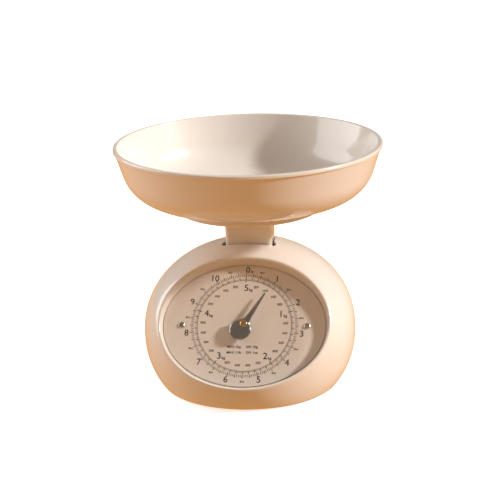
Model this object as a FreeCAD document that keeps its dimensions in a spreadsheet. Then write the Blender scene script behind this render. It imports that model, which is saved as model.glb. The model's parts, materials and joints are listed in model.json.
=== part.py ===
"""Mechanical kitchen scale with a round dial, a lift-off bowl and a pebble-shaped two-part housing.

Frame: millimetres, origin on the floor under the middle of the column, +Z up, the dial looks
towards -Y. Pieces of the dial and its movement are built in a dial frame: its X is the scale's X,
its Y runs up the dial face, and its Z leaves the face towards the reader (depth is minus Z).
"""
import FreeCAD, Part
import Sketcher
import math
import os
import re

from FreeCAD import Placement, Rotation, Vector

SIZES = {
    # bowl, outside sizes
    "bowl_rim_radius": 119.2,
    "bowl_bead": 1.2,
    "bowl_bead_height": 3.4,
    "bowl_depth": 55.3,
    "bowl_wall": 2.4,
    "bowl_base_radius": 64.0,
    "bowl_knee_radius": 106.2,
    "bowl_knee_rise": 10.7,
    "bowl_knee_round": 37.0,
    "bowl_foot_radius": 58.5,
    "bowl_foot_width": 3.0,
    "bowl_foot_height": 1.0,
    "bowl_foot_clearance": 0.05,
    "bowl_rim_round": 0.55,
    # platform under the bowl and the column that carries it
    "platform_radius": 64.5,
    "platform_bottom": 154.6,
    "platform_height": 5.0,
    "platform_plate": 2.5,
    "platform_hub_radius": 28.0,
    "platform_round": 0.8,
    "groove_side_gap": 0.3,
    "groove_floor_gap": 0.2,
    "platform_screw_x": 12.0,
    "platform_screw_y": 9.0,
    "platform_screw_length": 11.0,
    "column_width": 42.0,
    "column_depth": 34.0,
    "column_wall": 2.5,
    "column_bottom": 84.0,
    "column_corner": 4.0,
    "column_top_plate": 4.0,
    "bracket_width": 35.8,
    "bracket_depth": 27.8,
    "bracket_height": 74.0,
    "bracket_bottom": 22.0,
    "bracket_screw_z": 90.0,
    "bracket_screw_length": 6.0,
    "arm_screw_x": 14.0,
    "arm_x": 8.0,
    "arm_height": 6.0,
    # housing: a solid of revolution about an axis that leans forward
    "body_radius": 95.6,
    "body_half_height": 74.2,
    "body_power": 2.22,
    "body_lean": 17.9,
    "body_y": -23.0,
    "body_z": 48.4,
    "body_wall": 2.5,
    "body_bottom": 1.0,
    "seam_y": 30.0,
    "slot_width": 51.0,
    "slot_depth": 41.0,
    "slot_corner": 5.0,
    # dial recess, centred on the dial face
    "dial_lean": 36.8,
    "dial_y": -69.0,
    "dial_z": 66.1,
    "lip_width": 75.4,
    "lip_height": 59.2,
    "lip_rise": 8.9,
    "lip_round": 3.0,
    "dial_width": 72.4,
    "dial_height": 56.2,
    "dial_thickness": 1.5,
    "flange_thickness": 2.5,
    "flange_width": 48.0,
    "flange_height": 38.0,
    "dial_screw_x": 55.5,
    "lens_rise": 7.2,
    "lens_thickness": 1.0,
    # pointer movement
    "pinion_module": 0.5,
    "pinion_teeth": 10,
    "shaft_radius": 1.5,
    "plate_thickness": 1.5,
    "movement_depth": 17.0,
    "post_x": 18.0,
    "post_y": 8.5,
    "pin_drop": 26.0,
    "pin_depth": 12.0,
    "reading_angle": 31.5,
    "pointer_length": 34.0,
    "pointer_bulb": 8.85,
    "pointer_bulb_offset": 6.65,
    "pointer_rise": 4.2,
    "pointer_thickness": 0.9,
    "cap_rise": 5.15,
    "cap_radius": 3.4,
    "cap_height": 1.4,
    "hub_radius": 3.0,
    "hub_rise": 0.55,
    "hub_height": 3.6,
    "bushing_radius": 3.0,
    "post_radius": 2.4,
    "post_stem": 1.0,
    # parallelogram levers
    "lever_length": 50.0,
    "lever_rear_y": 44.0,
    "upper_pivot_z": 60.81,
    "lower_pivot_z": 24.81,
    "lever_rise": 5.19,
    "lever_inner_x": 25.5,
    "lever_thickness": 1.5,
    "lever_height": 8.0,
    "lever_end": 4.5,
    "lever_slot": 0.5,
    "lever_slot_bias": 0.05,
    "front_pin_length": 56.2,
    "rear_pin_length": 63.0,
    "clip_thickness": 0.7,
    "front_clip_radius": 3.6,
    "rear_clip_radius": 4.0,
    "pin_radius": 2.0,
    # chassis
    "cheek_x": 28.5,
    "sheet": 1.5,
    "floor_top": 4.5,
    "bridge_z": 96.5,
    "chassis_screw_x": 20.0,
    "chassis_front_screw_y": -10.0,
    "chassis_rear_screw_y": 22.0,
    "cover_screw_x": 24.0,
    "cover_screw_z": 45.0,
    "cover_screw_head_y": 58.4,
    "bumper_radius": 6.0,
    "bumper_height": 3.9,
    # springs and zero setting
    "spring_x": 14.0,
    "spring_y": 25.0,
    "spring_radius": 4.5,
    "spring_wire": 0.6,
    "spring_pitch": 2.6,
    "spring_low": 32.0,
    "spring_high": 87.0,
    "zero_y": 40.0,
    "wheel_radius": 17.0,
    "wheel_height": 5.0,
    "hanger_z": 88.0,
    "hanger_thickness": 2.0,
    "plug_length": 5.0,
    "lower_plug_z": 31.3,
    "ridge_radius": 1.1,
    "ridge_out": 0.6,
    "zero_screw_length": 22.0,
    "washer_radius": 5.0,
    "washer_thickness": 0.9,
    # base and feet
    "base_centre_y": -30.0,
    "base_bottom": 2.0,
    "foot_radius": 7.0,
    "foot_circle": 54.0,
    "base_screw_circle": 61.0,
    # fasteners
    "screw_radius": 1.5,
    "head_radius": 2.9,
    "head_height": 1.5,
    "running_gap": 0.03,
    "press_gap": 0.01,
    "loose_gap": 0.1,
    "head_gap": 0.2,
    "through": 80.0,
}

doc = FreeCAD.newDocument("kitchen_scale")
sheet = doc.addObject("Spreadsheet::Sheet", "Sizes")
for row, (alias, value) in enumerate(SIZES.items(), start=1):
    sheet.set("A%d" % row, alias)
    sheet.set("B%d" % row, str(value))
    sheet.setAlias("B%d" % row, alias)
doc.recompute()

nodes = []


# the rack's driving pin at rest, found from its height and depth in the dial frame
PIN_Y = "(dial_y - pin_drop * sin(dial_lean) + pin_depth * cos(dial_lean))"
PIN_Z = "(dial_z - pin_drop * cos(dial_lean) - pin_depth * sin(dial_lean))"


def formula(text):
    """An expression whose bare words are cells of the sheet."""
    return re.sub(r"[a-z_]+", lambda w: "Sizes." + w.group() if w.group() in SIZES else w.group(), text)


def size(text):
    """The present value of such an expression."""
    return float(sheet.evalExpression(formula(text)))


def bind(obj, **expressions):
    """Ties properties of an object to the sheet."""
    for name, text in expressions.items():
        setattr(obj, name, size(text))
        obj.setExpression(name, formula(text))


def move(obj, x, y, z):
    """Ties an object's position to the sheet."""
    for letter, text in (("x", x), ("y", y), ("z", z)):
        obj.setExpression("Placement.Base." + letter, formula(text))
    return obj


def block(length, width, height, x, y, z):
    """A box from its lowest corner."""
    box = doc.addObject("Part::Box", "Block")
    bind(box, Length=length, Width=width, Height=height)
    return move(box, x, y, z)


AXES = {
    "X": Rotation(Vector(0, 1, 0), 90),
    "Y": Rotation(Vector(1, 0, 0), -90),
    "Z": Rotation(),
}


def rod(radius, length, x, y, z, axis="Z"):
    """A cylinder from the middle of its first end, running along a plus axis."""
    cylinder = doc.addObject("Part::Cylinder", "Rod")
    bind(cylinder, Radius=radius, Height=length)
    cylinder.Placement = Placement(Vector(), AXES[axis])
    return move(cylinder, x, y, z)


def fuse(*parts):
    """One solid from touching parts."""
    union = doc.addObject("Part::MultiFuse", "Union")
    union.Shapes = list(parts)
    union.Refine = True
    return union


def cut(base, *tools):
    """The base without its tools."""
    result = doc.addObject("Part::Cut", "Cut")
    result.Base = base
    result.Tool = tools[0] if len(tools) == 1 else fuse(*tools)
    return result


def group(parts):
    """Separate solids of one kind, kept together."""
    bunch = doc.addObject("Part::Compound", "Group")
    bunch.Links = list(parts)
    return bunch


def extrude(corners, height, rotation, x, y, z):
    """A prism on a closed sketch of bound corners, turned and then moved."""
    outline = doc.addObject("Sketcher::SketchObject", "Outline")
    draw_corners(outline, corners)
    prism = doc.addObject("Part::Extrusion", "Prism")
    prism.Base = outline
    prism.DirMode = "Normal"
    prism.Solid = True
    bind(prism, LengthFwd=height)
    prism.Placement = Placement(Vector(), rotation)
    return move(prism, x, y, z)


def draw_corners(outline, corners):
    """Closes straight lines through corners whose places are tied to the sheet."""
    points = [Vector(size(x), size(y), 0) for x, y in corners]
    for i, point in enumerate(points):
        outline.addGeometry(Part.LineSegment(point, points[(i + 1) % len(points)]))
    for i in range(len(points)):
        outline.addConstraint(Sketcher.Constraint("Coincident", i, 2, (i + 1) % len(points), 1))
    for i, (x, y) in enumerate(corners):
        for kind, text, value in (("DistanceX", x, points[i].x), ("DistanceY", y, points[i].y)):
            index = outline.addConstraint(Sketcher.Constraint(kind, -1, 1, i, 1, value))
            outline.setExpression("Constraints[%d]" % index, formula(text))


def turned_body(name, corners):
    """A PartDesign body turned about Z from a half section of (radius, height) corners."""
    body = doc.addObject("PartDesign::Body", name)
    plane = next(f for f in body.Origin.OriginFeatures if f.Role == "XZ_Plane")
    section = body.newObject("Sketcher::SketchObject", name + "_section")
    section.AttachmentSupport = (plane, "")
    section.MapMode = "FlatFace"
    draw_corners(section, corners)
    turn = body.newObject("PartDesign::Revolution", name + "_turn")
    turn.Profile = section
    turn.ReferenceAxis = (section, ["V_Axis"])
    turn.Angle = 360
    doc.recompute()
    return body


MATCH = 0.01


def round_rings(body, radius, wanted):
    """Rounds the circular edges of a body that a test picks."""
    tip = body.Tip
    names = []
    for i, edge in enumerate(tip.Shape.Edges, start=1):
        if isinstance(edge.Curve, Part.Circle) and wanted(edge.Curve.Radius, edge.Curve.Center.z):
            names.append("Edge%d" % i)
    fillet = body.newObject("PartDesign::Fillet", body.Name + "_round")
    fillet.Base = (tip, names)
    bind(fillet, Radius=radius)
    doc.recompute()
    return body


def screw(head_radius, head_height, shank, x, y, z, axis):
    """A screw whose shank starts at a point and runs along an axis, with its head behind it."""
    offsets = {"X": (1, 0, 0), "Y": (0, 1, 0), "Z": (0, 0, 1)}[axis.strip("-")]
    sign = -1 if axis.startswith("-") else 1
    start = [x, y, z]
    head_at = ["%s - (%d) * (%s)" % (c, o * sign, head_height) if o else c for c, o in zip(start, offsets)]
    if sign < 0:
        head_at = start
        shank_at = ["%s - (%s)" % (c, shank) if o else c for c, o in zip(start, offsets)]
    else:
        shank_at = start
    return fuse(
        rod(head_radius, head_height, *head_at, axis.strip("-")),
        rod("screw_radius", shank, *shank_at, axis.strip("-")),
    )


def keep(obj, label, frame=None):
    """Names a finished sub-part and lists it for export, moved as a whole into a frame if one is given."""
    if frame is not None:
        obj = group([obj])
        obj.Placement = frame
    obj.Label = label
    nodes.append(obj)
    return obj


def shaped(shape, label):
    """A sub-part whose shape comes straight from surface geometry."""
    feature = doc.addObject("Part::Feature", label)
    feature.Shape = shape
    return keep(feature, label)


DIAL_FRAME = Placement(
    Vector(0, size("dial_y"), size("dial_z")),
    Rotation(Vector(1, 0, 0), 90 - size("dial_lean")),
)


# ---------------------------------------------------------------- bowl, platform and column

def make_bowl():
    base = "(platform_bottom + platform_height + bowl_foot_clearance)"
    rim = "(%s + bowl_depth)" % base
    slope = "(bowl_knee_rise / (bowl_knee_radius - bowl_base_radius))"
    corners = (
        ("0", base),
        ("bowl_foot_radius - bowl_foot_width / 2", base),
        ("bowl_foot_radius - bowl_foot_width / 2", base + " - bowl_foot_height"),
        ("bowl_foot_radius + bowl_foot_width / 2", base + " - bowl_foot_height"),
        ("bowl_foot_radius + bowl_foot_width / 2", base),
        ("bowl_base_radius", base),
        ("bowl_knee_radius", base + " + bowl_knee_rise"),
        ("bowl_rim_radius", rim + " - bowl_bead_height"),
        ("bowl_rim_radius + bowl_bead", rim + " - bowl_bead_height"),
        ("bowl_rim_radius + bowl_bead", rim),
        ("bowl_rim_radius - bowl_wall", rim),
        ("bowl_knee_radius - bowl_wall * 1.2", base + " + bowl_knee_rise + bowl_wall * 0.8"),
        ("bowl_base_radius - bowl_wall * %s" % slope, base + " + bowl_wall"),
        ("0", base + " + bowl_wall"),
    )
    body = turned_body("Bowl", corners)
    knee = size("bowl_knee_radius")
    inner_knee = knee - size("bowl_wall * 1.2")
    under_bead = size(rim) - size("bowl_bead_height") - MATCH
    round_rings(body, "bowl_knee_round", lambda radius, z: abs(radius - knee) < MATCH)
    round_rings(body, "bowl_knee_round - bowl_wall", lambda radius, z: abs(radius - inner_knee) < MATCH)
    round_rings(body, "bowl_rim_round", lambda radius, z: z > under_bead and radius > knee + 5)
    keep(body, "bowl")


def make_platform():
    bottom = "platform_bottom"
    under = "(platform_bottom + platform_height - platform_plate)"
    top = "(platform_bottom + platform_height)"
    groove = "(bowl_foot_width / 2 + groove_side_gap)"
    groove_floor = top + " - bowl_foot_height - groove_floor_gap"
    corners = (
        ("0", bottom),
        ("platform_hub_radius", bottom),
        ("platform_hub_radius", under),
        ("platform_radius - platform_plate", under),
        ("platform_radius - platform_plate", bottom),
        ("platform_radius", bottom),
        ("platform_radius", top),
        ("bowl_foot_radius + " + groove, top),
        ("bowl_foot_radius + " + groove, groove_floor),
        ("bowl_foot_radius - " + groove, groove_floor),
        ("bowl_foot_radius - " + groove, top),
        ("0", top),
    )
    body = turned_body("Platform", corners)
    outer = size("platform_radius")
    round_rings(body, "platform_round", lambda radius, z: abs(radius - outer) < MATCH)
    tools = []
    for x, y in screw_places():
        tools.append(rod("screw_radius + running_gap", "platform_height + 2", x, y, bottom + " - 1"))
        tools.append(rod("head_radius + head_gap", "3", x, y, top + " - head_height - 0.3"))
    keep(cut(body, *tools), "platform")


def screw_places():
    xs = ("-platform_screw_x", "platform_screw_x")
    ys = ("-platform_screw_y", "platform_screw_y")
    return [(x, y) for x in xs for y in ys]


def make_platform_screws():
    top = "platform_bottom + platform_height - head_height - 0.3"
    parts = []
    for x, y in screw_places():
        parts.append(screw("head_radius", "head_height", "platform_screw_length", x, y, top, "-Z"))
    keep(group(parts), "platform_screws")


def rounded_column(inset, bottom, top):
    """A square tube's solid with rounded upright corners."""
    bar = block(
        "column_width - 2 * (%s)" % inset,
        "column_depth - 2 * (%s)" % inset,
        "%s - (%s)" % (top, bottom),
        "-column_width / 2 + (%s)" % inset,
        "-column_depth / 2 + (%s)" % inset,
        bottom,
    )
    doc.recompute()
    radius = size("column_corner - (%s)" % inset)
    upright = []
    for i, edge in enumerate(bar.Shape.Edges, start=1):
        if abs(edge.tangentAt(edge.FirstParameter).z) > 0.9:
            upright.append((i, radius, radius))
    fillet = doc.addObject("Part::Fillet", "Rounded")
    fillet.Base = bar
    fillet.Edges = upright
    return fillet


def bracket_screw_hole():
    """One hole right across the column and the bracket inside it."""
    return rod("screw_radius + running_gap", "through", "-through / 2", "0", "bracket_screw_z", "X")


def make_column():
    outside = rounded_column("0", "column_bottom", "platform_bottom")
    inside = rounded_column("column_wall", "column_bottom - 1", "(platform_bottom - column_top_plate)")
    tools = [inside, bracket_screw_hole()]
    for x, y in screw_places():
        tools.append(rod("screw_radius + running_gap", "10", x, y, "platform_bottom - 9"))
    keep(cut(outside, *tools), "column")


# ---------------------------------------------------------------- carriage inside the housing

def make_carriage_bracket():
    left = "-bracket_width / 2"
    front = "-bracket_depth / 2"
    outside = block("bracket_width", "bracket_depth", "bracket_height", left, front, "bracket_bottom")
    inside = block(
        "bracket_width - 2 * sheet", "bracket_depth", "bracket_height",
        left + " + sheet", front + " + sheet", "bracket_bottom + sheet",
    )
    tools = [inside]
    for pivot in ("upper_pivot_z", "lower_pivot_z"):
        place = ("-through / 2", "lever_rear_y - lever_length", pivot + " + lever_rise")
        tools.append(rod("pin_radius + running_gap", "through", *place, "X"))
    tools.append(bracket_screw_hole())
    tools.append(rod("screw_radius + running_gap", "6", "arm_screw_x", "-16", PIN_Z, "Y"))
    keep(cut(outside, *tools), "carriage_bracket")


def make_bracket_screws():
    gap = "column_width / 2"
    parts = [
        screw("head_radius", "head_height", "bracket_screw_length", "-" + gap, "0", "bracket_screw_z", "X"),
        screw("head_radius", "head_height", "bracket_screw_length", gap, "0", "bracket_screw_z", "-X"),
    ]
    keep(group(parts), "bracket_screws")


def make_rack_arm():
    low = PIN_Z + " - arm_height / 2"
    face = "(-bracket_depth / 2 - 0.02)"
    strip = block("sheet", "%s - (%s) + 4" % (face, PIN_Y), "arm_height", "arm_x", PIN_Y + " - 4", low)
    tab = block("9", "sheet", "arm_height", "arm_x", face + " - sheet", low)
    pin_hole = rod("screw_radius + press_gap", "5", "6", PIN_Y, PIN_Z, "X")
    screw_hole = rod("screw_radius + running_gap", "6", "arm_screw_x", "-18", PIN_Z, "Y")
    keep(cut(fuse(strip, tab), pin_hole, screw_hole), "rack_arm")


def make_arm_fasteners():
    start = "-bracket_depth / 2 - sheet - running_gap"
    keep(screw("2.6", "head_height", "5", "arm_screw_x", start, PIN_Z, "Y"), "rack_arm_screw")
    keep(rod("screw_radius", "7.2", "2.7", PIN_Y, PIN_Z, "X"), "rack_pin")


def make_lever(label, pivot, cross):
    """A U-shaped lever, drawn with its rear pivot at the origin, then tipped to its rest angle."""
    low = "-lever_height / 2"
    reach = "lever_length + 2 * lever_end"
    arms = []
    for x in ("lever_inner_x", "-lever_inner_x - lever_thickness"):
        arms.append(block("lever_thickness", reach, "lever_height", x, "-lever_length - lever_end", low))
    width = "2 * (lever_inner_x + lever_thickness)"
    left = "-lever_inner_x - lever_thickness"
    bar = block(width, "lever_thickness", "lever_height", left, cross, low)
    hole = "(pin_radius + lever_slot_bias)"
    slot_front = "(lever_slot_bias - lever_length - lever_slot)"
    tools = [rod("pin_radius + running_gap", "through", "-through / 2", "0", "0", "X")]
    for end in (slot_front, slot_front + " + lever_slot"):
        tools.append(rod(hole, "through", "-through / 2", end, "0", "X"))
    tools.append(block("through", "lever_slot", "2 * " + hole, "-through / 2", slot_front, "-" + hole))
    lever = cut(fuse(bar, *arms), *tools)
    tip = math.degrees(math.asin(size("lever_rise / lever_length")))
    place = Vector(0, size("lever_rear_y"), size(pivot))
    keep(lever, label, Placement(place, Rotation(Vector(1, 0, 0), -tip)))


def pin(length, y, z):
    """A lever's pin, centred across the scale."""
    return rod("pin_radius", length, "-%s / 2" % length, y, z, "X")


def make_lever_pins():
    for label, pivot in (("upper", "upper_pivot_z"), ("lower", "lower_pivot_z")):
        front = pivot + " + lever_rise"
        front_y = "lever_rear_y - lever_length"
        keep(pin("front_pin_length", front_y, front), label + "_front_pin")
        keep(pin("rear_pin_length", "lever_rear_y", pivot), label + "_rear_pin")


def clip_rings(starts, places, radius):
    """Retaining rings on pins that run along X."""
    rings = []
    for x in starts:
        for y, z in places:
            disc = rod(radius, "clip_thickness", x, y, z, "X")
            hole = rod("pin_radius + press_gap", "3 * clip_thickness", x + " - clip_thickness", y, z, "X")
            rings.append(cut(disc, hole))
    return group(rings)


def make_clips():
    pivots = ("upper_pivot_z", "lower_pivot_z")
    front = [("lever_rear_y - lever_length", p + " + lever_rise") for p in pivots]
    rear = [("lever_rear_y", p) for p in pivots]
    keep(clip_rings(("27.2", "-27.2 - clip_thickness"), front, "front_clip_radius"), "front_pin_clips")
    keep(clip_rings(("30.1", "-30.1 - clip_thickness"), rear, "rear_clip_radius"), "rear_pin_clips")


# ---------------------------------------------------------------- chassis

CHEEK = (
    ("-15", "floor_top"), ("28", "floor_top"), ("48", "24"), ("48", "70"),
    ("42", "bridge_z + sheet"), ("20", "bridge_z + sheet"), ("20", "22"), ("-15", "22"),
)
UPRIGHT_ALONG_X = Rotation(Vector(1, 1, 1), 120)
CHASSIS_SCREWS = [
    (x, y)
    for x in ("-chassis_screw_x", "chassis_screw_x")
    for y in ("chassis_front_screw_y", "chassis_rear_screw_y")
]


def make_chassis():
    width = "2 * (cheek_x + sheet)"
    parts = [block(width, "43", "sheet", "-cheek_x - sheet", "-15", "floor_top")]
    parts.append(block(width, "22", "sheet", "-cheek_x - sheet", "20", "bridge_z"))
    for x in ("cheek_x", "-cheek_x - sheet"):
        parts.append(extrude(CHEEK, "sheet", UPRIGHT_ALONG_X, x, "0", "0"))
    for x in ("20", "-cheek_x - sheet"):
        parts.append(block("cheek_x + sheet - 20", "sheet", "18", x, "48 - sheet", "36"))
    tools = []
    for pivot in ("upper_pivot_z", "lower_pivot_z"):
        tools.append(rod("pin_radius + press_gap", "through", "-through / 2", "lever_rear_y", pivot, "X"))
    for x, y in CHASSIS_SCREWS:
        tools.append(rod("screw_radius + 0.02", "6", x, y, "floor_top - 1"))
    for x in ("-cover_screw_x", "cover_screw_x"):
        tools.append(rod("screw_radius + 0.02", "8", x, "44", "cover_screw_z", "Y"))
    tools.append(rod("pin_radius + 0.05", "8", "0", "zero_y", "bridge_z - 3"))
    keep(cut(fuse(*parts), *tools), "chassis_frame")


def make_bumper():
    keep(rod("bumper_radius", "bumper_height", "0", "0", "floor_top + sheet"), "overload_bumper")


def make_springs():
    for label, x in (("left", -size("spring_x")), ("right", size("spring_x"))):
        low = size("spring_low")
        length = size("spring_high") - low
        path = Part.makeHelix(size("spring_pitch"), length, size("spring_radius"))
        start = Vector(size("spring_radius"), 0, 0)
        section = Part.Wire(Part.Circle(start, Vector(0, 1, 0), size("spring_wire")).toShape())
        coil = Part.Wire(path).makePipeShell([section], True, True)
        coil.translate(Vector(x, size("spring_y"), low))
        shaped(coil, "extension_spring_" + label)


def spring_plugs(bottom):
    """Screw-in end plugs that fill the first turns of both springs."""
    radius = "spring_radius - spring_wire - 0.1"
    return group([rod(radius, "plug_length", x, "spring_y", bottom) for x in ("-spring_x", "spring_x")])


def make_hanger():
    half = "(cheek_x - loose_gap)"
    plate = block("2 * " + half, "26", "hanger_thickness", "-" + half, "20", "hanger_z")
    nut = rod("5", "3", "0", "zero_y", "hanger_z + 1")
    hole = rod("pin_radius + 0.04", "8", "0", "zero_y", "hanger_z - 2")
    keep(cut(fuse(plate, nut), hole), "spring_hanger")
    keep(spring_plugs("hanger_z - plug_length"), "upper_spring_plugs")
    keep(spring_plugs("lower_plug_z"), "lower_spring_plugs")


def make_zero_wheel():
    bottom = "(bridge_z + sheet + 1)"
    disc = rod("wheel_radius", "wheel_height", "0", "zero_y", bottom)
    tools = [rod("pin_radius + press_gap", "12", "0", "zero_y", bottom + " - 2")]
    ridges = 36
    for i in range(ridges):
        angle = "%g" % (360 * i / ridges)
        x = "(wheel_radius + ridge_out) * cos(%s)" % angle
        y = "zero_y + (wheel_radius + ridge_out) * sin(%s)" % angle
        tools.append(rod("ridge_radius", "wheel_height + 2", x, y, bottom + " - 1"))
    keep(cut(disc, *tools), "zero_wheel")
    keep(rod("pin_radius", "zero_screw_length", "0", "zero_y", "hanger_z - 3"), "zero_screw")
    washer = rod("washer_radius", "washer_thickness", "0", "zero_y", "bridge_z + sheet + 0.05")
    bore = rod("pin_radius + loose_gap", "2", "0", "zero_y", "bridge_z + sheet - 0.5")
    keep(cut(washer, bore), "wheel_washer")


# ---------------------------------------------------------------- dial and pointer movement

def oval(width, height, depth, thickness):
    """An elliptical plate in the dial frame whose back lies at a height above the dial's face."""
    rim = doc.addObject("Part::Ellipse", "Oval")
    bind(rim, MajorRadius=width, MinorRadius=height)
    plate = doc.addObject("Part::Extrusion", "Plate")
    plate.Base = rim
    plate.DirMode = "Custom"
    plate.Dir = Vector(0, 0, 1)
    plate.Solid = True
    bind(plate, LengthFwd=thickness)
    return move(plate, "0", "0", depth)


def mirrored_x(x, make):
    """The same piece at plus and minus x."""
    return [make(x), make("-" + x)]


def make_dial():
    plate = oval("dial_width - 0.7", "dial_height - 0.7", "-dial_thickness", "dial_thickness")
    tools = mirrored_x("dial_screw_x", lambda x: rod("screw_radius + loose_gap", "6", x, "0", "-4"))
    tools.append(rod("4", "6", "0", "0", "-4"))
    keep(cut(plate, *tools), "dial_plate", DIAL_FRAME)
    heads = mirrored_x("dial_screw_x", lambda x: screw("3", "1.2", "9", x, "0", "0", "-Z"))
    keep(group(heads), "dial_screws", DIAL_FRAME)
    back = "dial_thickness + flange_thickness + plate_thickness"
    nuts = []
    for x in ("dial_screw_x", "-dial_screw_x"):
        body = rod("3", "2.2", x, "0", "-(%s) - 2.2" % back)
        nuts.append(cut(body, rod("screw_radius + press_gap", "4", x, "0", "-(%s) - 3" % back)))
    keep(group(nuts), "dial_nuts", DIAL_FRAME)


def make_lens():
    spread = "(lip_width - dial_width) * lens_rise / lip_rise - 0.15"
    plate = oval("dial_width + " + spread, "dial_height + " + spread, "lens_rise", "lens_thickness")
    keep(plate, "dial_lens", DIAL_FRAME)


POSTS = [(x, y) for x in ("-post_x", "post_x") for y in ("-post_y", "post_y")]
FRONT_BACK = "(dial_thickness + flange_thickness + plate_thickness)"
REAR_FRONT = "(dial_thickness + flange_thickness + movement_depth)"


def make_movement():
    front_z = "-" + FRONT_BACK
    front = block("120", "24", "plate_thickness", "-60", "-12", front_z)
    tools = [rod("bushing_radius + 0.02", "6", "0", "0", front_z + " - 2")]
    through = front_z + " - 2"
    tools += mirrored_x("dial_screw_x", lambda x: rod("screw_radius + loose_gap", "6", x, "0", through))
    tools += [rod("post_stem + 0.02", "6", x, y, front_z + " - 2") for x, y in POSTS]
    keep(cut(front, *tools), "movement_front_plate", DIAL_FRAME)
    rear_z = "-%s - plate_thickness" % REAR_FRONT
    rear = block("44", "24", "plate_thickness", "-22", "-12", rear_z)
    tools = [rod("bushing_radius + 0.02", "6", "0", "0", rear_z + " - 2")]
    tools += [rod("post_stem + 0.02", "6", x, y, rear_z + " - 2") for x, y in POSTS]
    keep(cut(rear, *tools), "movement_rear_plate", DIAL_FRAME)
    posts = []
    for x, y in POSTS:
        pillar = rod("post_radius", "%s - %s" % (REAR_FRONT, FRONT_BACK), x, y, "-" + REAR_FRONT)
        stem = rod("post_stem", "%s - %s + 2 * plate_thickness" % (REAR_FRONT, FRONT_BACK), x, y, rear_z)
        posts.append(fuse(pillar, stem))
    keep(group(posts), "movement_posts", DIAL_FRAME)
    for label, at in (("front_bushing", front_z), ("rear_bushing", rear_z)):
        sleeve = rod("bushing_radius", "plate_thickness", "0", "0", at)
        bore = rod("shaft_radius + running_gap", "4", "0", "0", at + " - 1")
        keep(cut(sleeve, bore), label, DIAL_FRAME)
    guide = block("3", "12", "%s - %s" % (REAR_FRONT, FRONT_BACK), "7.2", "-6", "-" + REAR_FRONT)
    keep(guide, "rack_guide", DIAL_FRAME)


PITCH_RADIUS = size("pinion_module * pinion_teeth / 2")
TOOTH_PITCH = math.pi * size("pinion_module")
PRESSURE = math.radians(20)
BACKLASH = 0.05
PINION_TOP = 0.5
RACK_TOP = 0.29
ROOT_GAP = 0.12
TEETH_DEPTH = 13.0
TEETH_WIDTH = 8.0


def involute_angle(radius):
    """How far an involute of the pinion has turned at a radius."""
    base = PITCH_RADIUS * math.cos(PRESSURE)
    tangent = math.sqrt(max(0.0, (radius / base) ** 2 - 1))
    return tangent - math.atan(tangent)


def pinion_outline():
    """Corners of the toothed section, one tooth centred on +X."""
    teeth = int(size("pinion_teeth"))
    root = PITCH_RADIUS - RACK_TOP - ROOT_GAP
    half_pitch_angle = (TOOTH_PITCH / 2 - BACKLASH) / 2 / PITCH_RADIUS
    flank_radii = [root, PITCH_RADIUS * math.cos(PRESSURE), PITCH_RADIUS, PITCH_RADIUS + PINION_TOP]
    corners = []
    for tooth in range(teeth):
        middle = 2 * math.pi * tooth / teeth
        halves = [half_pitch_angle + involute_angle(PITCH_RADIUS) - involute_angle(r) for r in flank_radii]
        rising = [(r, middle - half) for r, half in zip(flank_radii, halves)]
        falling = [(r, middle + half) for r, half in zip(reversed(flank_radii), reversed(halves))]
        corners += [Vector(r * math.cos(a), r * math.sin(a), 0) for r, a in rising + falling]
    return corners


def prism(corners, start, height):
    """A solid between two heights on a closed outline."""
    face = Part.Face(Part.makePolygon(corners + corners[:1]))
    solid = face.extrude(Vector(0, 0, height))
    solid.translate(Vector(0, 0, start))
    return solid


def make_arbor():
    rear = -size("%s + plate_thickness + 1.5" % REAR_FRONT)
    shaft = Part.makeCylinder(size("shaft_radius"), 5.9 - rear, Vector(0, 0, rear))
    toothed = prism(pinion_outline(), -TEETH_DEPTH - TEETH_WIDTH / 2, TEETH_WIDTH)
    arbor = doc.addObject("Part::Feature", "Arbor")
    arbor.Shape = shaft.fuse(toothed)
    keep(arbor, "pinion_arbor", DIAL_FRAME)


def make_rack():
    """A toothed bar with a foot whose level slot takes the driving pin."""
    first = -5
    last = 10
    teeth = []
    half_top = (TOOTH_PITCH / 2 - BACKLASH) / 2 - RACK_TOP * math.tan(PRESSURE)
    half_root = (TOOTH_PITCH / 2 - BACKLASH) / 2 + (PINION_TOP + ROOT_GAP) * math.tan(PRESSURE)
    root_x = PITCH_RADIUS + PINION_TOP + ROOT_GAP
    for i in range(first, last + 1):
        middle = (i + 0.5) * TOOTH_PITCH
        teeth.append(Vector(root_x, middle - half_root, 0))
        teeth.append(Vector(PITCH_RADIUS - RACK_TOP, middle - half_top, 0))
        teeth.append(Vector(PITCH_RADIUS - RACK_TOP, middle + half_top, 0))
        teeth.append(Vector(root_x, middle + half_root, 0))
    back = 7.0
    low = -25.0
    high = teeth[-1].y + 1.5
    outline = [Vector(root_x, low, 0)] + teeth
    outline += [Vector(root_x, high, 0), Vector(back, high, 0), Vector(back, low, 0)]
    bar = prism(outline, -16.5, 7.0)
    bar.Placement = DIAL_FRAME.multiply(bar.Placement)
    pin = Vector(0, size(PIN_Y), size(PIN_Z))
    foot = Part.makeBox(back - root_x, 16.5, 9, Vector(root_x, pin.y - 4.2, pin.z - 4.5))
    radius = size("screw_radius") + 0.04
    slot = Part.makeBox(back, 9.4, 2 * radius, Vector(0, pin.y - 0.85, pin.z - radius))
    for end in (-0.85, 8.55):
        slot = slot.fuse(Part.makeCylinder(radius, back, Vector(0, pin.y + end, pin.z), Vector(1, 0, 0)))
    ahead = Part.makeBox(back - root_x, 30, 30, Vector(root_x, pin.y - 4.2, pin.z - 4.5))
    bar = bar.common(ahead).fuse(foot).cut(slot).removeSplitter()
    shaped(bar, "rack")


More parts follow.
